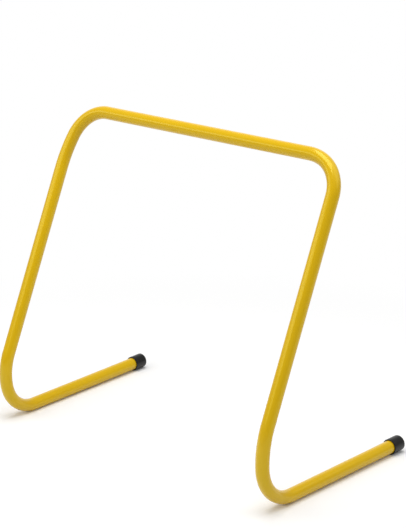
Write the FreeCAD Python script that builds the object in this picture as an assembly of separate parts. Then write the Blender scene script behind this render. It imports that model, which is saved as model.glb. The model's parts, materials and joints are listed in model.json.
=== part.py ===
import FreeCAD, Part
import math
import os

# Speed hurdle: one length of rigid plastic tube, bent into two feet, two leaning legs and a
# crossbar, with a slip-over cap on the end of each foot.
# Millimetres. The origin is on the floor under the middle of the hurdle, +X runs along the
# crossbar, +Y runs along the feet from the bends to the caps, and +Z is up.

# The whole hurdle
HEIGHT = 450.0                # floor to the top of the crossbar
WIDTH = 500.0                 # over the outsides of the two legs
LEG_ANGLE = 66.1              # degrees between a leg and the floor
FOOT_SPLAY = 1.3              # degrees that each foot turns outwards
LEFT_FOOT_STRAIGHT = 213.5    # bare straight tube between the foot bend and the cap
RIGHT_FOOT_STRAIGHT = 209.0

# The tube
TUBE_DIAMETER = 18.5
TUBE_WALL = 2.0

# Bend radii, on the centre line. The bends are formed hot, so no two are quite alike. Each is tight
# over most of its turn and eases to a wider radius over the share of the turn that is left. The
# wide end is beside the leg, but in the top right bend it is beside the crossbar.
LEFT_FOOT_BEND = 53.0
LEFT_FOOT_EASE = 81.0
LEFT_FOOT_EASE_SHARE = 0.33
RIGHT_FOOT_BEND = 57.0
RIGHT_FOOT_EASE = 128.0
RIGHT_FOOT_EASE_SHARE = 0.23
LEFT_TOP_BEND = 55.0
LEFT_TOP_EASE = 200.0
LEFT_TOP_EASE_SHARE = 0.16
RIGHT_TOP_BEND = 48.0
RIGHT_TOP_EASE = 64.0
RIGHT_TOP_EASE_SHARE = 0.21

# The caps
CAP_LENGTH = 23.5
CAP_WALL = 1.7
CAP_FLOOR = 3.0               # thickness of the closed end
CAP_EDGE_ROUND = 3.0          # outer edge of the closed end
CAP_MOUTH_ROUND = 0.6         # outer edge of the mouth
CAP_LEAD_IN = 0.8             # chamfer inside the mouth, which starts the cap on the tube
CAP_CLEARANCE = 0.05          # between tube and cap, on the radius

# Sizes that follow
TUBE_R = TUBE_DIAMETER / 2
BORE_R = TUBE_R - TUBE_WALL
SOCKET_R = TUBE_R + CAP_CLEARANCE
CAP_R = SOCKET_R + CAP_WALL
SOCKET_DEPTH = CAP_LENGTH - CAP_FLOOR
LEG_X = WIDTH / 2 - TUBE_R
BAR_Z = HEIGHT - TUBE_R
FULL_TURN = 360.0             # degrees

V = FreeCAD.Vector
LEFT = -1
RIGHT = 1

FOOT_STRAIGHT = {LEFT: LEFT_FOOT_STRAIGHT, RIGHT: RIGHT_FOOT_STRAIGHT}

# A bend as the radius of its first arc, the radius of its second and the second's share of the
# turn. A foot bend goes from the foot to the leg, and a top bend from the leg to the crossbar.
FOOT_BEND = {
    LEFT: (LEFT_FOOT_BEND, LEFT_FOOT_EASE, LEFT_FOOT_EASE_SHARE),
    RIGHT: (RIGHT_FOOT_BEND, RIGHT_FOOT_EASE, RIGHT_FOOT_EASE_SHARE),
}
TOP_BEND = {
    LEFT: (LEFT_TOP_EASE, LEFT_TOP_BEND, 1 - LEFT_TOP_EASE_SHARE),
    RIGHT: (RIGHT_TOP_BEND, RIGHT_TOP_EASE, RIGHT_TOP_EASE_SHARE),
}


def foot_pitch(side):
    """Angle, in radians, at which a foot rises so that its bend and its wider cap both touch the floor.

    The bend's lowest point and the cap's mouth are two circles, standing on the floor, that the
    foot's axis has to pass at the tube's radius.
    """
    radius = FOOT_BEND[side][0]
    straight = FOOT_STRAIGHT[side]
    rise = radius + CAP_R
    span = math.hypot(straight, rise)
    return math.atan2(rise, straight) - math.asin((radius + TUBE_R) / span)


def foot_direction(side):
    """Unit vector along a foot, from its bend to its cap."""
    pitch = foot_pitch(side)
    splay = math.radians(FOOT_SPLAY)
    level = math.cos(pitch)
    return V(side * math.sin(splay) * level, math.cos(splay) * level, math.sin(pitch))


def leg_direction():
    """Unit vector up a leg, from its foot to the crossbar."""
    angle = math.radians(LEG_ANGLE)
    return V(0, math.cos(angle), math.sin(angle))


def bend_offsets(direction_a, direction_b, bend):
    """Where a bend lies on its two straight runs, measured from the runs' corner.

    Both directions point away from the corner. The first two results are the distances, one along
    each run, to the points where the two arcs' own tangents meet. The last is the distance to the
    end of the first run.
    """
    radius_a, radius_b, share_b = bend
    turn = math.pi - direction_a.getAngle(direction_b)
    turn_b = turn * share_b
    turn_a = turn - turn_b
    tangent_a = radius_a * math.tan(turn_a / 2)
    tangent_b = radius_b * math.tan(turn_b / 2)
    # The corner and the two meeting points are a triangle with all its angles known.
    scale = (tangent_a + tangent_b) / math.sin(turn)
    meet_a = scale * math.sin(turn_b)
    meet_b = scale * math.sin(turn_a)
    return meet_a, meet_b, meet_a + tangent_a


def side_points(side):
    """Points and radii of the tube's route from the end of one foot to its end of the crossbar.

    Each row is a point where the route turns, with the radius of its arc. The first is the
    tube's open end, which has none.
    """
    foot = foot_direction(side)
    leg = leg_direction()
    bar = V(-side, 0, 0)
    foot_bend = FOOT_BEND[side]
    top_bend = TOP_BEND[side]
    foot_meet, leg_meet, foot_run = bend_offsets(foot, leg, foot_bend)
    bend_end_z = TUBE_R + foot_bend[0] * (1 - math.cos(foot_pitch(side)))
    corner_z = bend_end_z - foot_run * foot.z
    top = V(side * LEG_X, 0, BAR_Z)
    corner = top - leg * ((BAR_Z - corner_z) / leg.z)
    top_meet, bar_meet, _ = bend_offsets(-leg, bar, top_bend)
    open_end = corner + foot * (foot_run + FOOT_STRAIGHT[side] + SOCKET_DEPTH)
    return [
        (open_end, None),
        (corner + foot * foot_meet, foot_bend[0]),
        (corner + leg * leg_meet, foot_bend[1]),
        (top - leg * top_meet, top_bend[0]),
        (top + bar * bar_meet, top_bend[1]),
    ]


def tube_route():
    """The tube's whole route, from the left foot's open end to the right foot's."""
    return side_points(LEFT) + side_points(RIGHT)[::-1]


def route_edges(route):
    """Straight runs joined by tangent arcs, in order, along the route."""
    shortest_run = 1e-6
    edges = []
    here = route[0][0]
    for before, (point, radius), after in zip(route, route[1:], route[2:]):
        back = (before[0] - point).normalize()
        ahead = (after[0] - point).normalize()
        turn = math.pi - back.getAngle(ahead)
        start = point + back * (radius * math.tan(turn / 2))
        end = point + ahead * (radius * math.tan(turn / 2))
        inward = (back + ahead).normalize()
        middle = point + inward * (radius / math.cos(turn / 2) - radius)
        if here.distanceToPoint(start) > shortest_run:
            edges.append(Part.LineSegment(here, start).toShape())
        edges.append(Part.Arc(start, middle, end).toShape())
        here = end
    edges.append(Part.LineSegment(here, route[-1][0]).toShape())
    return edges


def make_tube():
    """The bent tube, open at both ends, swept along its route."""
    route = tube_route()
    path = Part.Wire(route_edges(route))
    start = route[0][0]
    heading = (route[1][0] - start).normalize()
    rims = [Part.Wire(Part.makeCircle(radius, start, heading)) for radius in (TUBE_R, BORE_R)]
    section = Part.makeFace(rims, "Part::FaceMakerBullseye")
    tube = path.makePipe(section)
    print("tube length %.1f, volume over section times length %.6f"
          % (path.Length, tube.Volume / (section.Area * path.Length)))
    return tube


def cap_profile():
    """Half section of a cap, closed end at the top, with its mouth at height zero."""
    diagonal = math.sqrt(0.5)
    mouth_in = SOCKET_R + CAP_LEAD_IN
    edge_centre = V(CAP_R - CAP_EDGE_ROUND, 0, CAP_LENGTH - CAP_EDGE_ROUND)
    mouth_centre = V(CAP_R - CAP_MOUTH_ROUND, 0, CAP_MOUTH_ROUND)
    edge_middle = edge_centre + V(diagonal, 0, diagonal) * CAP_EDGE_ROUND
    mouth_middle = mouth_centre + V(diagonal, 0, -diagonal) * CAP_MOUTH_ROUND
    edge_start = V(CAP_R, 0, edge_centre.z)
    edge_end = V(edge_centre.x, 0, CAP_LENGTH)
    mouth_start = V(mouth_centre.x, 0, 0)
    mouth_end = V(CAP_R, 0, mouth_centre.z)
    inside = [
        edge_end,
        V(0, 0, CAP_LENGTH),
        V(0, 0, SOCKET_DEPTH),
        V(SOCKET_R, 0, SOCKET_DEPTH),
        V(SOCKET_R, 0, CAP_LEAD_IN),
        V(mouth_in, 0, 0),
        mouth_start,
    ]
    edges = [Part.LineSegment(a, b).toShape() for a, b in zip(inside, inside[1:])]
    edges.append(Part.Arc(mouth_start, mouth_middle, mouth_end).toShape())
    edges.append(Part.LineSegment(mouth_end, edge_start).toShape())
    edges.append(Part.Arc(edge_start, edge_middle, edge_end).toShape())
    return Part.Face(Part.Wire(edges))


def make_cap(side, open_end):
    """A cap pushed on until its closed end meets the tube's open end."""
    axis = foot_direction(side)
    cap = cap_profile().revolve(V(0, 0, 0), V(0, 0, 1), FULL_TURN)
    mouth = open_end - axis * SOCKET_DEPTH
    cap.Placement = FreeCAD.Placement(mouth, FreeCAD.Rotation(V(0, 0, 1), axis))
    return cap


def make_hurdle():
    """Every piece by name, moved so that the origin is on the floor under the middle."""
    route = tube_route()
    pieces = {
        "frame_tube": make_tube(),
        "end_cap_left": make_cap(LEFT, route[0][0]),
        "end_cap_right": make_cap(RIGHT, route[-1][0]),
    }
    box = Part.makeCompound(list(pieces.values())).optimalBoundingBox(False, False)
    shift = V(-box.Center.x, -box.Center.y, -box.ZMin)
    for shape in pieces.values():
        shape.translate(shift)
    print("foot pitches %.4f and %.4f degrees, shifted by %.4f %.4f %.4f"
          % (math.degrees(foot_pitch(LEFT)), math.degrees(foot_pitch(RIGHT)), shift.x, shift.y, shift.z))
    print("size %.2f by %.2f by %.2f" % (box.XLength, box.YLength, box.ZLength))
    return pieces


os.makedirs("parts", exist_ok=True)
for name, shape in make_hurdle().items():
    shape.exportStep("parts/%s.step" % name)
    print(name, shape.ShapeType, "valid" if shape.isValid() else "not valid", "%.1f" % shape.Volume)
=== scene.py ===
# %% [markdown]
# # A speed hurdle bent from yellow tube
# A speed hurdle is a light, low hurdle for footwork drills. This one is one length of yellow rigid
# PVC tube, heated and bent four times into two feet, two leaning legs and a crossbar, with a black
# vinyl cap pushed over each open end. The imported solids come in first, because they hold the real
# sizes and the joints. Their box is kept, and its top gives the height of the crossbar.

# %% Load the solids
import json
import math

import bmesh
import bpy
import numpy as np
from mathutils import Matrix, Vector


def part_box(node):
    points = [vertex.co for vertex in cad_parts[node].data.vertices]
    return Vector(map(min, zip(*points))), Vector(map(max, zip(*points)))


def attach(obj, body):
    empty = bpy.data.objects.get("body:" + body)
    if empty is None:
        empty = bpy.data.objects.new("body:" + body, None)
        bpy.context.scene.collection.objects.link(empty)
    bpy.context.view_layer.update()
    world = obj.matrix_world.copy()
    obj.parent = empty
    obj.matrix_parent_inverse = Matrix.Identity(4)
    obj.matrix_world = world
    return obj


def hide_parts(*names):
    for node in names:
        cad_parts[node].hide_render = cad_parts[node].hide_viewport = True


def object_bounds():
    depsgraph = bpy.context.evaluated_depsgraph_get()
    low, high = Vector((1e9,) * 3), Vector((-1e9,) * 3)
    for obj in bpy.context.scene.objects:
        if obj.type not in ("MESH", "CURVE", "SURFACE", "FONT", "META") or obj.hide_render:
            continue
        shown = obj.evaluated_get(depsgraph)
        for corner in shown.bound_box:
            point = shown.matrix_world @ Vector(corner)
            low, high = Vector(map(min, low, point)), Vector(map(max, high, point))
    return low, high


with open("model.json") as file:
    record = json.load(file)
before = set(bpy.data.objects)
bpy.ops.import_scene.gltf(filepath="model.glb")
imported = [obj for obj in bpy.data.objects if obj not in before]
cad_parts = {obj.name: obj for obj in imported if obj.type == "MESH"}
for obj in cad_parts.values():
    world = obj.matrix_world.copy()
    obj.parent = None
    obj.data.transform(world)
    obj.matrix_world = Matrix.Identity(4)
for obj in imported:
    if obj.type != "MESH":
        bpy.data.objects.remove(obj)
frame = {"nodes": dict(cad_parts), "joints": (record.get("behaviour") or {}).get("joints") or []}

MM = 0.001
cad_low, cad_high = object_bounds()
print("solids", sorted(frame["nodes"]), "size in mm", [round(v / MM, 2) for v in cad_high - cad_low])

# %% [markdown]
# ## The line that the tube follows
# The tube starts out straight and is bent hot, so its whole shape is one line with a radius at each
# turn. A Blender curve with a round bevel could draw it. A mesh that is swept along the line by code
# is used instead, for two reasons: its section can flatten a little in the bends, as a hot tube
# does, and every point can remember where it lay on the straight tube, which the finish needs.
# No two of the bends are quite alike: each is tight for most of its turn and eases at one end.

# %% Sizes of the tube
TUBE_DIAMETER = 18.5 * MM
TUBE_WALL = 2.0 * MM
TUBE_R = TUBE_DIAMETER / 2
BORE_R = TUBE_R - TUBE_WALL
WIDTH = 500.0 * MM                        # over the outsides of the two legs
LEG_ANGLE = math.radians(66.1)            # between a leg and the floor
CAP_LENGTH = 23.5 * MM
CAP_FLOOR = 3.0 * MM
SOCKET_DEPTH = CAP_LENGTH - CAP_FLOOR
LEFT = -1
RIGHT = 1
FOOT_STRAIGHT = {LEFT: 213.5 * MM, RIGHT: 209.0 * MM}     # bare tube between the bend and the cap
# A bend is its first radius, its second radius and the second's share of the turn. A foot bend goes
# from the foot to the leg, and a top bend from the leg to the crossbar.
FOOT_BEND = {LEFT: (53.0 * MM, 81.0 * MM, 0.33), RIGHT: (57.0 * MM, 128.0 * MM, 0.23)}
TOP_BEND = {LEFT: (200.0 * MM, 55.0 * MM, 0.84), RIGHT: (48.0 * MM, 64.0 * MM, 0.21)}

# The caps slide along the feet, so the joints already hold the direction of each foot.
foot_axis = {joint["child"]: Vector(joint["axis"]).normalized() for joint in frame["joints"]}
print("foot directions", {body: tuple(round(v, 4) for v in axis) for body, axis in foot_axis.items()})


# %% Corners of the route
def bend_corners(corner, toward_a, toward_b, bend):
    """A bend as two smaller corners, each with its radius, and the bend's reach along side a."""
    radius_a, radius_b, share_b = bend
    turn = math.pi - toward_a.angle(toward_b)
    turn_b = turn * share_b
    turn_a = turn - turn_b
    tangent_a = radius_a * math.tan(turn_a / 2)
    tangent_b = radius_b * math.tan(turn_b / 2)
    # The corner and the two smaller ones are a triangle with all its angles known.
    scale = (tangent_a + tangent_b) / math.sin(turn)
    corner_a = corner + toward_a * (scale * math.sin(turn_b))
    corner_b = corner + toward_b * (scale * math.sin(turn_a))
    return [(corner_a, radius_a), (corner_b, radius_b)], scale * math.sin(turn_b) + tangent_a


def half_route(side, foot):
    """Corners from the open end of one foot to that side's end of the crossbar."""
    leg = Vector((0, math.cos(LEG_ANGLE), math.sin(LEG_ANGLE)))
    bar = Vector((-side, 0, 0))
    top = Vector((side * (WIDTH / 2 - TUBE_R), 0, cad_high.z - TUBE_R))
    # The bend's reach along the foot is the same wherever its corner is, so it is worked out first.
    _, foot_reach = bend_corners(top, foot, leg, FOOT_BEND[side])
    # The lowest point of the bend stands on the floor, and the foot rises a little to its cap.
    bend_end_z = TUBE_R + FOOT_BEND[side][0] * (1 - math.hypot(foot.x, foot.y))
    corner = top - leg * ((top.z - bend_end_z + foot_reach * foot.z) / leg.z)
    foot_corners, _ = bend_corners(corner, foot, leg, FOOT_BEND[side])
    top_corners, _ = bend_corners(top, -leg, bar, TOP_BEND[side])
    open_end = corner + foot * (foot_reach + FOOT_STRAIGHT[side] + SOCKET_DEPTH)
    return [(open_end, None)] + foot_corners + top_corners


route = half_route(LEFT, foot_axis["left_cap"]) + half_route(RIGHT, foot_axis["right_cap"])[::-1]
print("route of", len(route), "points")

# %% Rings along the route
STRAIGHT_STEP = 12.0 * MM
ARC_STEP = math.radians(2.5)
SAME_POINT = 1e-6
NO_BEND = -1


def sample_route(route):
    """Centre, heading, inward side and bend number of each ring along the route.

    The inward side points at the centre of the bend. Two corners make one bend, and a ring on a
    straight run has no bend.
    """
    rings = []
    here = route[0][0]
    for index, (before, (corner, radius), after) in enumerate(zip(route, route[1:], route[2:])):
        heading = (corner - before[0]).normalized()
        ahead = (after[0] - corner).normalized()
        inward = (ahead - heading * ahead.dot(heading)).normalized()
        turn = heading.angle(ahead)
        start = corner - heading * (radius * math.tan(turn / 2))
        if (start - here).length > SAME_POINT:
            steps = math.ceil((start - here).length / STRAIGHT_STEP)
            rings += [(here.lerp(start, k / steps), heading, inward, NO_BEND) for k in range(steps)]
        steps = math.ceil(turn / ARC_STEP)
        for k in range(steps):
            angle = turn * k / steps
            centre = start + (heading * math.sin(angle) + inward * (1 - math.cos(angle))) * radius
            here_heading = heading * math.cos(angle) + inward * math.sin(angle)
            here_inward = inward * math.cos(angle) - heading * math.sin(angle)
            rings.append((centre, here_heading, here_inward, index // 2))
        here = corner + ahead * (radius * math.tan(turn / 2))
    last = route[-1][0]
    steps = math.ceil((last - here).length / STRAIGHT_STEP)
    rings += [(here.lerp(last, k / steps), ahead, inward, NO_BEND) for k in range(steps + 1)]
    return [np.array(column) for column in zip(*rings)]


centres, headings, inwards, bend_numbers = sample_route(route)
# The solids stand with the middle of their box over the origin, so the line moves to match them.
tube_low, tube_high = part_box("frame_tube")
centres[:, 0] += (tube_low.x + tube_high.x) / 2 - (centres[:, 0].min() + centres[:, 0].max()) / 2
centres[:, 1] += tube_low.y - (centres[:, 1].min() - TUBE_R)
steps_along = np.linalg.norm(np.diff(centres, axis=0), axis=1)
along = np.concatenate([[0.0], np.cumsum(steps_along)])
print(len(centres), "rings over", round(along[-1] / MM, 1), "mm")

# %% [markdown]
# ## The tube itself
# Every ring of the sweep is carried from the last one without twisting, so that a line drawn along
# the straight tube stays a line along the bent one. In a bend the section turns slightly oval: a few
# hundredths of the radius, easing in and out. A single skin with a Solidify modifier would be
# shorter to write, but its ends would be bare cuts. This mesh runs along the outside, over the
# bevelled end, back through the bore and over the other end, so it is one closed skin of quads with
# a real wall, which shows when a cap is pulled off.

# %% Sweep the tube
SIDES = 64
CUT_EDGE = 0.35 * MM        # the sawn ends are scraped to a small bevel
FLATTEN = 0.025             # share of the radius lost towards the middle of a bend
WIDEN = 0.012               # share gained across it
EASE = 28.0 * MM            # length over which the oval comes and goes


def smooth(value):
    """A soft step from 0 to 1."""
    value = np.clip(value, 0.0, 1.0)
    return value * value * (3 - 2 * value)


def oval_share(along, bend_numbers):
    """How far each ring is into a bend, from 0 on a straight run to 1 deep in the bend."""
    share = np.zeros(len(along))
    for number in range(bend_numbers.max() + 1):
        inside = bend_numbers == number
        reach = np.minimum(along[inside] - along[inside][0], along[inside][-1] - along[inside])
        share[inside] = smooth(reach / EASE)
    return share


def carried_sideways(headings):
    """A sideways unit vector for each ring, carried along the line without twisting."""
    side = np.cross(headings[0], (0.0, 0.0, 1.0))
    carried = []
    for heading in headings:
        side = side - heading * side.dot(heading)
        side = side / np.linalg.norm(side)
        carried.append(side)
    return np.array(carried)


ovals = oval_share(along, bend_numbers)
sideways = carried_sideways(headings)
upwards = np.cross(sideways, headings)
angles = np.arange(SIDES) * (2 * math.pi / SIDES)


def ring_points(index, offset, radius):
    """One ring: its points, their places on the straight tube, and how far each lies outside a bend."""
    spokes = np.outer(np.cos(angles), sideways[index]) + np.outer(np.sin(angles), upwards[index])
    outside = -spokes @ inwards[index]
    oval = WIDEN - (WIDEN + FLATTEN) * outside ** 2
    lengths = radius * (1 + ovals[index] * oval)
    points = centres[index] + headings[index] * offset + spokes * lengths[:, None]
    straight = np.column_stack([radius * np.cos(angles), radius * np.sin(angles),
                                np.full(SIDES, along[index] + offset)])
    return points, straight, outside * ovals[index]


# Each row of the skin is the number of a ring, its shift along the line and its radius.
last = len(centres) - 1
middle = range(1, last)
skin = [(0, CUT_EDGE, TUBE_R)]
skin += [(k, 0.0, TUBE_R) for k in middle]
skin += [(last, -CUT_EDGE, TUBE_R), (last, 0.0, TUBE_R - CUT_EDGE)]
skin += [(last, 0.0, BORE_R + CUT_EDGE), (last, -CUT_EDGE, BORE_R)]
skin += [(k, 0.0, BORE_R) for k in reversed(middle)]
skin += [(0, CUT_EDGE, BORE_R), (0, 0.0, BORE_R + CUT_EDGE), (0, 0.0, TUBE_R - CUT_EDGE)]
skin_rings = [ring_points(*row) for row in skin]
tube_points, tube_straight, tube_outside = [np.concatenate(column) for column in zip(*skin_rings)]
print("tube skin of", len(tube_points), "points")


# %% Make the tube's object
SHARP_TURN = math.radians(35)
SCUFF_HEIGHT = 3.0 * MM


def ring_faces(ring_count, side_count, closed):
    """Quads between neighbouring rings, and from the last ring to the first if it is closed."""
    faces = []
    for ring in range(ring_count if closed else ring_count - 1):
        a = ring * side_count
        b = (ring + 1) % ring_count * side_count
        for k in range(side_count):
            n = (k + 1) % side_count
            faces.append((a + k, b + k, b + n, a + n))
    return faces


def make_piece(name, points, faces, marks):
    """A smooth mesh object with its normals outwards and with the marks that its finish reads."""
    mesh = bpy.data.meshes.new(name)
    mesh.from_pydata([tuple(p) for p in points], [], faces)
    for mark, values in marks.items():
        kind, field = ("FLOAT_VECTOR", "vector") if values.ndim == 2 else ("FLOAT", "value")
        attribute = mesh.attributes.new(mark, kind, "POINT")
        attribute.data.foreach_set(field, values.astype(np.float32).ravel())
    edit = bmesh.new()
    edit.from_mesh(mesh)
    bmesh.ops.recalc_face_normals(edit, faces=edit.faces)
    volume = edit.calc_volume(signed=True) / MM ** 3
    loose = sum(1 for edge in edit.edges if not edge.is_manifold)
    edit.to_mesh(mesh)
    edit.free()
    mesh.shade_smooth()
    mesh.set_sharp_from_angle(angle=SHARP_TURN)
    piece = bpy.data.objects.new(name, mesh)
    bpy.context.scene.collection.objects.link(piece)
    print(name, len(mesh.polygons), "faces,", round(volume), "cubic mm,", loose, "loose edges")
    return piece


# A foot bend slides and scrapes on the floor, so its underside gets a mark for light scuffs.
scuffed = smooth(1 - tube_points[:, 2] / SCUFF_HEIGHT)
tube = make_piece("bent_tube", tube_points, ring_faces(len(skin), SIDES, True),
                  {"as_extruded": tube_straight, "bend_strain": tube_outside, "floor_scuff": scuffed})

# %% [markdown]
# ## The end caps
# Each cap is a short cup of soft black vinyl, moulded around a core, with a rounded closed end and a
# trimmed mouth. A cylinder with a bevel would do from a step away. The cap is turned from an
# outline instead, as on a lathe, because then it has its socket, its lead-in, the shallow dish of
# its closed end and the small mark where the plastic flowed in.

# %% Outline of a cap
CAP_R = 11.0 * MM
SOCKET_R = 9.3 * MM
EDGE_ROUND = 3.0 * MM
EDGE_STEPS = 10
MOUTH_ROUND = 0.6 * MM
MOUTH_STEPS = 5
LEAD_IN = 0.8 * MM
DISH_R = 6.6 * MM
DISH_DEPTH = 0.4 * MM
DISH_LIP = 0.14 * MM            # depth at the dish's radius, from where it eases out to the end face
DISH_FLOOR_R = 5.61 * MM        # the dish is flat inside this
DISH_RING_R = 3.63 * MM         # a ring on the flat, which keeps its shading flat too
GATE_R = 1.1 * MM
GATE_TOP_R = 0.77 * MM
GATE_HEIGHT = 0.3 * MM
WALL_RINGS = (0.65, 0.45, 0.25)     # shares of the length with a ring on the wall, where no rub is left


def arc(centre_r, centre_z, radius, start, end, steps):
    """Points of an arc in the half section, between two angles in degrees, as radius and height."""
    turns = np.radians(np.linspace(start, end, steps + 1))
    return [(centre_r + radius * math.cos(t), centre_z + radius * math.sin(t)) for t in turns]


def cap_outline():
    """Half section of the cap from the middle of its closed end, out, down to the mouth and in."""
    top = CAP_LENGTH
    dish = top - DISH_DEPTH
    gate = dish + GATE_HEIGHT
    outline = [(0.0, gate), (GATE_TOP_R, gate), (GATE_R, dish)]
    outline += [(DISH_RING_R, dish), (DISH_FLOOR_R, dish), (DISH_R, top - DISH_LIP)]
    outline += [(DISH_R + DISH_DEPTH, top)]
    outline += arc(CAP_R - EDGE_ROUND, top - EDGE_ROUND, EDGE_ROUND, 90, 0, EDGE_STEPS)
    outline += [(CAP_R, top * share) for share in WALL_RINGS]
    outline += arc(CAP_R - MOUTH_ROUND, MOUTH_ROUND, MOUTH_ROUND, 0, -90, MOUTH_STEPS)
    outline += [(SOCKET_R + LEAD_IN, 0.0), (SOCKET_R, LEAD_IN)]
    outline += [(SOCKET_R, SOCKET_DEPTH), (0.0, SOCKET_DEPTH)]
    return np.array(outline)


outline = cap_outline()
print("cap outline of", len(outline), "points")

# %% Turn the caps
CAP_SIDES = 96
# Radius and height add up to this on the middle of the rounded edge, which is rubbed most.
EDGE_MIDDLE = CAP_R + CAP_LENGTH - EDGE_ROUND * (2 - math.sqrt(2))


def make_cap(name, mouth, axis):
    """A cap turned about a foot's axis, with its mouth at the given point."""
    across = np.cross(axis, (0.0, 0.0, 1.0))
    across = across / np.linalg.norm(across)
    over = np.cross(across, axis)
    turns = np.arange(CAP_SIDES) * (2 * math.pi / CAP_SIDES)
    # The outline's first and last points are on the axis, so each is one point and not a ring.
    rings = outline[1:-1]
    radii = np.repeat(rings[:, 0], CAP_SIDES)
    heights = np.repeat(rings[:, 1], CAP_SIDES)
    spin = np.tile(turns, len(rings))
    moulded = np.column_stack([radii * np.cos(spin), radii * np.sin(spin), heights])
    poles = np.array([(0.0, 0.0, outline[0, 1]), (0.0, 0.0, outline[-1, 1])])
    moulded = np.concatenate([moulded, poles])
    points = mouth + moulded @ np.array([across, over, axis])
    faces = ring_faces(len(rings), CAP_SIDES, False)
    end_pole = len(points) - 2
    socket_pole = len(points) - 1
    last_ring = end_pole - CAP_SIDES
    for k in range(CAP_SIDES):
        n = (k + 1) % CAP_SIDES
        faces.append((end_pole, k, n))
        faces.append((socket_pole, last_ring + n, last_ring + k))
    reach = np.hypot(moulded[:, 0], moulded[:, 1]) + moulded[:, 2]
    rubbed = smooth(1 - np.abs(reach - EDGE_MIDDLE) / EDGE_ROUND)
    return make_piece(name, points, faces, {"as_moulded": moulded, "edge_rub": rubbed})


caps = {}
for body, end in (("left_cap", 0), ("right_cap", -1)):
    axis = np.array(foot_axis[body])
    mouth = centres[end] - axis * SOCKET_DEPTH
    caps[body] = make_cap("vinyl_" + body, mouth, axis)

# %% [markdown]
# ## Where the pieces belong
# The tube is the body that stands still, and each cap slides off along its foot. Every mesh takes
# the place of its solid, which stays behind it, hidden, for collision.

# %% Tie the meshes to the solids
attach(tube, "frame")
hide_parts("frame_tube")
for body, node in (("left_cap", "end_cap_left"), ("right_cap", "end_cap_right")):
    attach(caps[body], body)
    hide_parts(node)
print("pieces", [tube.name] + [cap.name for cap in caps.values()])


# %% [markdown]
# ## Finishes
# Both plastics are coloured right through, so neither has paint to chip: what the eye reads is the
# way the surface was made. One helper adds a shader node with its settings and links, and one turns
# the colours, written as in a paint program, into the linear numbers that the shader wants.

# %% Helpers for the finishes
def linear(hex_code):
    """An sRGB hex colour as linear red, green, blue and alpha."""
    parts = [int(hex_code[k:k + 2], 16) / 255 for k in (1, 3, 5)]
    return [p / 12.92 if p <= 0.04045 else ((p + 0.055) / 1.055) ** 2.4 for p in parts] + [1.0]


def add_node(tree, kind, inputs, **settings):
    """A new node. Each input is a plain value, or the output socket of another node."""
    node = tree.nodes.new(kind)
    for name, value in settings.items():
        setattr(node, name, value)
    for name, value in inputs.items():
        if isinstance(value, bpy.types.NodeSocket):
            tree.links.new(value, node.inputs[name])
        else:
            node.inputs[name].default_value = value
    return node


def new_finish(name):
    """An empty material and its node tree."""
    material = bpy.data.materials.new(name)
    material.use_nodes = True
    material.node_tree.nodes.clear()
    return material, material.node_tree


MIX_A, MIX_B, MIX_OUT = 6, 7, 2     # the colour sockets of a Mix node, which share their names
print("mid grey in linear light", round(linear("#808080")[0], 3))

# %% [markdown]
# ## Extruded rigid PVC
# The tube leaves a die as an endless pipe, so its skin is satin and even, with very fine lines
# along its length and a faint ripple from cooling. Where it is bent hot, the outside of the bend
# stretches and turns a touch paler, and the inside, pressed together, a touch deeper. Object
# coordinates would be simpler, but their patterns would cut straight across a bent tube. These
# patterns are laid out on the straight tube and bent with it, so the lines run round the bends.

# %% Sizes and colours of the tube's finish
DIE_LINE = 1.1 * MM             # real lines are about 0.2 mm apart, drawn coarser so that they show
DIE_LENGTH = 160.0 * MM
DIE_DEPTH = 0.008 * MM
RIPPLE = 7.0 * MM
RIPPLE_DEPTH = 0.02 * MM
PVC_RELIEF = 0.4                # strength of both bumps
STREAK_WIDTH = 5.0 * MM
STREAK_LENGTH = 90.0 * MM
SCUFF_WIDTH = 0.6 * MM
SCUFF_LENGTH = 9.0 * MM
SCUFF_START = 0.56              # noise below this leaves no scratch
SCUFF_FULL = 0.66               # noise above this leaves a full one
SCUFF_TINT = 0.6
SCUFF_ROUGHNESS = 0.35          # added in a full scratch
BEND_TINT = 0.35                # most that a bend shifts the colour
PVC_SATIN = (0.18, 0.22)        # roughness
PVC_IOR = 1.53
PVC_SHINE = 0.84
PVC_SHINE_TINT = "#F1F789"
PVC_YELLOWS = ("#E4B600", "#EBBD02")
PVC_STRETCHED = "#EFC63A"
PVC_PRESSED = "#CF9C06"
PVC_WORN = "#B9933A"
print("streaks from", PVC_YELLOWS[0], "to", PVC_YELLOWS[1])


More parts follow.
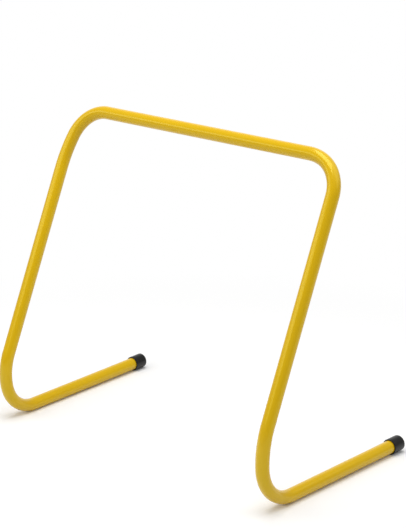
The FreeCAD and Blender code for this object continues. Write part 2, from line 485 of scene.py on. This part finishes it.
# %% Finish of the tube
def extruded_pvc():
    """Yellow rigid PVC, extruded and bent hot."""
    material, tree = new_finish("extruded_rigid_pvc_yellow")
    place = add_node(tree, "ShaderNodeAttribute", {}, attribute_name="as_extruded").outputs["Vector"]
    strain = add_node(tree, "ShaderNodeAttribute", {}, attribute_name="bend_strain").outputs["Fac"]
    scuff = add_node(tree, "ShaderNodeAttribute", {}, attribute_name="floor_scuff").outputs["Fac"]

    def pattern(width, length, detail):
        """Noise with its own size around the straight tube and along it."""
        sizes = (1 / width, 1 / width, 1 / length)
        laid = add_node(tree, "ShaderNodeMapping", {"Vector": place, "Scale": sizes})
        noise = add_node(tree, "ShaderNodeTexNoise",
                         {"Vector": laid.outputs["Vector"], "Scale": 1.0, "Detail": detail})
        return noise.outputs["Fac"]

    die_lines = pattern(DIE_LINE, DIE_LENGTH, detail=2.0)
    ripple = pattern(RIPPLE, RIPPLE, detail=1.0)
    streaks = pattern(STREAK_WIDTH, STREAK_LENGTH, detail=3.0)
    scratches = pattern(SCUFF_WIDTH, SCUFF_LENGTH, detail=2.0)

    stretched = add_node(tree, "ShaderNodeMapRange", {"Value": strain, "To Max": BEND_TINT})
    pressed = add_node(tree, "ShaderNodeMapRange",
                       {"Value": strain, "From Max": -1.0, "To Max": BEND_TINT})
    scratched = add_node(tree, "ShaderNodeMapRange",
                         {"Value": scratches, "From Min": SCUFF_START, "From Max": SCUFF_FULL,
                          "To Max": SCUFF_TINT})
    worn = add_node(tree, "ShaderNodeMath", {0: scratched.outputs[0], 1: scuff}, operation="MULTIPLY")

    yellows = [linear(code) for code in PVC_YELLOWS]
    colour = add_node(tree, "ShaderNodeMix",
                      {0: streaks, MIX_A: yellows[0], MIX_B: yellows[1]}, data_type="RGBA")
    for share, code in ((stretched, PVC_STRETCHED), (pressed, PVC_PRESSED), (worn, PVC_WORN)):
        colour = add_node(tree, "ShaderNodeMix",
                          {0: share.outputs[0], MIX_A: colour.outputs[MIX_OUT], MIX_B: linear(code)},
                          data_type="RGBA")

    satin = add_node(tree, "ShaderNodeMapRange",
                     {"Value": ripple, "To Min": PVC_SATIN[0], "To Max": PVC_SATIN[1]})
    roughness = add_node(tree, "ShaderNodeMath",
                         {0: worn.outputs[0], 1: SCUFF_ROUGHNESS, 2: satin.outputs[0]},
                         operation="MULTIPLY_ADD")
    lines = add_node(tree, "ShaderNodeBump",
                     {"Height": die_lines, "Distance": DIE_DEPTH, "Strength": PVC_RELIEF})
    bump = add_node(tree, "ShaderNodeBump",
                    {"Height": ripple, "Distance": RIPPLE_DEPTH, "Strength": PVC_RELIEF,
                     "Normal": lines.outputs[0]})
    surface = add_node(tree, "ShaderNodeBsdfPrincipled",
                       {"Base Color": colour.outputs[MIX_OUT], "Roughness": roughness.outputs[0],
                        "Normal": bump.outputs[0], "IOR": PVC_IOR, "Specular IOR Level": PVC_SHINE,
                        "Specular Tint": linear(PVC_SHINE_TINT)})
    add_node(tree, "ShaderNodeOutputMaterial", {"Surface": surface.outputs[0]})
    return material


tube.data.materials.append(extruded_pvc())
print("tube finish", tube.data.materials[0].name)

# %% [markdown]
# ## Moulded soft vinyl
# The caps are soft PVC, matt from the spark-eroded mould, so they show a fine even grain and only a
# broad, weak shine. The rounded edge is handled most and is rubbed a little greyer. Plain noise in
# the cap's own coordinates is enough for a grain with no direction, so nothing has to be unwrapped.

# %% Finish of the caps
GRAIN = 0.45 * MM               # mould grain is about 0.1 mm, drawn coarser so that it shows
GRAIN_DEPTH = 0.03 * MM
GRAIN_RELIEF = 0.5
CLOUD = 6.0 * MM
RUB_TINT = 0.5
VINYL_MATT = (0.30, 0.40)       # roughness
VINYL_IOR = 1.5
VINYL_SHINE = 0.35
VINYL_BLACKS = ("#090808", "#100F0F")
VINYL_RUBBED = "#1E1C1B"


def moulded_vinyl():
    """Black soft vinyl from a matt mould."""
    material, tree = new_finish("moulded_soft_vinyl_black")
    place = add_node(tree, "ShaderNodeAttribute", {}, attribute_name="as_moulded").outputs["Vector"]
    rub = add_node(tree, "ShaderNodeAttribute", {}, attribute_name="edge_rub").outputs["Fac"]
    grain = add_node(tree, "ShaderNodeTexNoise", {"Vector": place, "Scale": 1 / GRAIN, "Detail": 2.0})
    cloud = add_node(tree, "ShaderNodeTexNoise", {"Vector": place, "Scale": 1 / CLOUD, "Detail": 3.0})
    blacks = [linear(code) for code in VINYL_BLACKS]
    black = add_node(tree, "ShaderNodeMix",
                     {0: cloud.outputs["Fac"], MIX_A: blacks[0], MIX_B: blacks[1]}, data_type="RGBA")
    rubbed = add_node(tree, "ShaderNodeMapRange", {"Value": rub, "To Max": RUB_TINT})
    colour = add_node(tree, "ShaderNodeMix",
                      {0: rubbed.outputs[0], MIX_A: black.outputs[MIX_OUT], MIX_B: linear(VINYL_RUBBED)},
                      data_type="RGBA")
    matt = add_node(tree, "ShaderNodeMapRange",
                    {"Value": grain.outputs["Fac"], "To Min": VINYL_MATT[0], "To Max": VINYL_MATT[1]})
    bump = add_node(tree, "ShaderNodeBump",
                    {"Height": grain.outputs["Fac"], "Distance": GRAIN_DEPTH, "Strength": GRAIN_RELIEF})
    surface = add_node(tree, "ShaderNodeBsdfPrincipled",
                       {"Base Color": colour.outputs[MIX_OUT], "Roughness": matt.outputs[0],
                        "Normal": bump.outputs[0], "IOR": VINYL_IOR, "Specular IOR Level": VINYL_SHINE})
    add_node(tree, "ShaderNodeOutputMaterial", {"Surface": surface.outputs[0]})
    return material


vinyl = moulded_vinyl()
for cap in caps.values():
    cap.data.materials.append(vinyl)
print("cap finish", vinyl.name)

# %% [markdown]
# ## The studio floor
# The hurdle stands on a white floor that is lit until it is pure white in the picture and keeps only
# the shadows close to the tube. More light would burn out the hurdle too, so the floor is painted
# in two ways: plain pale paint for the light that it throws back, and a brighter white for the rays
# of the camera, mirrors and glass. Further out it fades into a backdrop of strength 1, which is white.

# %% Floor
FLOOR_HALF = 3.0                            # metres
FADE_START = 0.45                           # metres from the middle of the hurdle
FADE_END = 0.8
PAINT = (0.68, 0.68, 0.68, 1.0)
OVEREXPOSED = (1.06, 1.06, 1.06, 1.0)       # past white, so no hex value can hold it
corners = [(-FLOOR_HALF, -FLOOR_HALF, 0.0), (FLOOR_HALF, -FLOOR_HALF, 0.0),
           (FLOOR_HALF, FLOOR_HALF, 0.0), (-FLOOR_HALF, FLOOR_HALF, 0.0)]
floor_mesh = bpy.data.meshes.new("studio_floor")
floor_mesh.from_pydata(corners, [], [(0, 1, 2, 3)])
floor = bpy.data.objects.new("studio_floor", floor_mesh)
bpy.context.scene.collection.objects.link(floor)


def seen_rays(tree, extra):
    """1 for the rays that look at the studio: the camera's, those through glass and the extra kind."""
    rays = add_node(tree, "ShaderNodeLightPath", {}).outputs
    seen = add_node(tree, "ShaderNodeMath",
                    {0: rays["Is Camera Ray"], 1: rays["Is Transmission Ray"]}, operation="MAXIMUM")
    either = add_node(tree, "ShaderNodeMath", {0: seen.outputs[0], 1: extra}, operation="MAXIMUM")
    return either.outputs[0]


def white_paint():
    """Matt white floor paint, overexposed where it is looked at."""
    material, tree = new_finish("matt_white_floor_paint")
    glossy = add_node(tree, "ShaderNodeLightPath", {}).outputs["Is Glossy Ray"]
    seen = seen_rays(tree, glossy)
    white = add_node(tree, "ShaderNodeMix",
                     {0: seen, MIX_A: PAINT, MIX_B: OVEREXPOSED}, data_type="RGBA")
    paint = add_node(tree, "ShaderNodeBsdfDiffuse", {"Color": white.outputs[MIX_OUT]})
    place = add_node(tree, "ShaderNodeNewGeometry", {}).outputs["Position"]
    reach = add_node(tree, "ShaderNodeVectorMath", {0: place}, operation="LENGTH").outputs["Value"]
    fade = add_node(tree, "ShaderNodeMapRange",
                    {"Value": reach, "From Min": FADE_START, "From Max": FADE_END},
                    interpolation_type="SMOOTHSTEP")
    faded = add_node(tree, "ShaderNodeMath", {0: fade.outputs[0], 1: seen}, operation="MULTIPLY")
    backdrop = add_node(tree, "ShaderNodeEmission", {"Strength": 1.0})
    surface = add_node(tree, "ShaderNodeMixShader",
                       {0: faded.outputs[0], 1: paint.outputs[0], 2: backdrop.outputs[0]})
    add_node(tree, "ShaderNodeOutputMaterial", {"Surface": surface.outputs[0]})
    material.cycles.emission_sampling = "NONE"      # the backdrop is only looked at, it lights nothing
    return material


floor_mesh.materials.append(white_paint())
print("floor of", 2 * FLOOR_HALF, "m")

# %% [markdown]
# ## Light
# Three softboxes light the hurdle. The largest hangs overhead and lights the crossbar and the tops of
# the feet. A long strip, low and to the left of the camera, draws the pale line down the legs and the
# band along the crossbar, and it stands close, so the left leg is a little brighter than the right
# one. A weak one behind on the right keeps the backs from going dark. A point lamp or a sun would
# need less setting up. Area lamps are used, because a lamp with a real size gives soft shadows, and
# its edge shows in the shine of the plastic.

# %% Softboxes
AIM = Vector((0.0, -0.02, 0.22))


def softbox(name, around, height, distance, size, power):
    """An area lamp of so many watts that faces the hurdle.

    It stands so many degrees around the hurdle, 0 in front and 90 on the right, and so many above
    the floor.
    """
    around = math.radians(around)
    height = math.radians(height)
    level = math.cos(height)
    toward = Vector((math.sin(around) * level, -math.cos(around) * level, math.sin(height)))
    lamp = bpy.data.lights.new(name, "AREA")
    lamp.shape = "RECTANGLE"
    lamp.size, lamp.size_y = size
    lamp.energy = power
    holder = bpy.data.objects.new(name, lamp)
    holder.location = AIM + toward * distance
    holder.rotation_euler = toward.to_track_quat("Z", "Y").to_euler()
    holder.visible_camera = False
    bpy.context.scene.collection.objects.link(holder)


softbox("strip_softbox", around=-28, height=25.5, distance=1.6, size=(1.95, 0.45), power=4.4)
softbox("overhead_softbox", around=0, height=85, distance=2.0, size=(1.5, 1.5), power=25.2)
softbox("back_right_softbox", around=120, height=45, distance=1.8, size=(1.4, 1.4), power=4.2)
print("softboxes", [lamp.name for lamp in bpy.data.lights])

# %% [markdown]
# ## The room
# The pale walls of a studio throw back an even light, which fills the shaded sides. Walls could be
# modelled for that, but the world's background gives the same light with one number. The camera sees
# plain white all round, and the shine at the edges of the tube shows the white backdrop behind it.

# %% Room and backdrop
ROOM_LIGHT = 0.45
BACKDROP_SIDE = (-0.67, 0.74, 0.0)      # from the hurdle to the middle of the backdrop
BACKDROP_EDGE = 0.6                     # cosines of the angle from there where the backdrop starts
BACKDROP_FULL = 0.9                     # and where it is all white
WHITE = linear("#FFFFFF")
world = bpy.data.worlds.new("studio_room")
world.use_nodes = True
bpy.context.scene.world = world
tree = world.node_tree
tree.nodes.clear()
toward = add_node(tree, "ShaderNodeTexCoord", {}).outputs["Generated"]
aligned = add_node(tree, "ShaderNodeVectorMath", {0: toward, 1: BACKDROP_SIDE}, operation="DOT_PRODUCT")
behind = add_node(tree, "ShaderNodeMapRange",
                  {"Value": aligned.outputs["Value"], "From Min": BACKDROP_EDGE, "From Max": BACKDROP_FULL},
                  interpolation_type="SMOOTHSTEP")
glossy = add_node(tree, "ShaderNodeLightPath", {}).outputs["Is Glossy Ray"]
shine = add_node(tree, "ShaderNodeMath", {0: behind.outputs[0], 1: glossy}, operation="MULTIPLY")
seen = seen_rays(tree, shine.outputs[0])
room = add_node(tree, "ShaderNodeBackground", {"Color": WHITE, "Strength": ROOM_LIGHT})
backdrop = add_node(tree, "ShaderNodeBackground", {"Color": WHITE, "Strength": 1.0})
mixed = add_node(tree, "ShaderNodeMixShader", {0: seen, 1: room.outputs[0], 2: backdrop.outputs[0]})
add_node(tree, "ShaderNodeOutputWorld", {"Surface": mixed.outputs[0]})
world.cycles.sampling_method = "NONE"    # even light is found by scattered rays alone, with less grain
print("room light", ROOM_LIGHT)

# %% [markdown]
# ## Camera
# The camera stands in front and to the right, a little above the crossbar, and looks down slightly.
# It is far away with a long lens, so the legs stay almost parallel. An object that tracks the hurdle
# could aim it, but two plain angles are exact and easy to read.

# %% Camera
IMAGE_HEIGHT = 528          # pixels, of an image 406 wide
FOCAL_PIXELS = 1706.2
SENSOR = 36.0               # mm
CAMERA_PLACE = (1.5198, -1.6726, 0.9572)
CAMERA_DOWN = 17.245        # degrees below level
CAMERA_TURN = 41.973        # degrees to the left of straight ahead
camera_data = bpy.data.cameras.new("camera")
camera_data.sensor_fit = "VERTICAL"
camera_data.sensor_height = SENSOR
camera_data.lens = FOCAL_PIXELS * SENSOR / IMAGE_HEIGHT
camera = bpy.data.objects.new("camera", camera_data)
camera.location = CAMERA_PLACE
camera.rotation_euler = (math.radians(90 - CAMERA_DOWN), 0.0, math.radians(CAMERA_TURN))
bpy.context.scene.collection.objects.link(camera)
bpy.context.scene.camera = camera
bpy.context.scene.view_settings.view_transform = "Standard"
print("lens", round(camera_data.lens, 1), "mm")
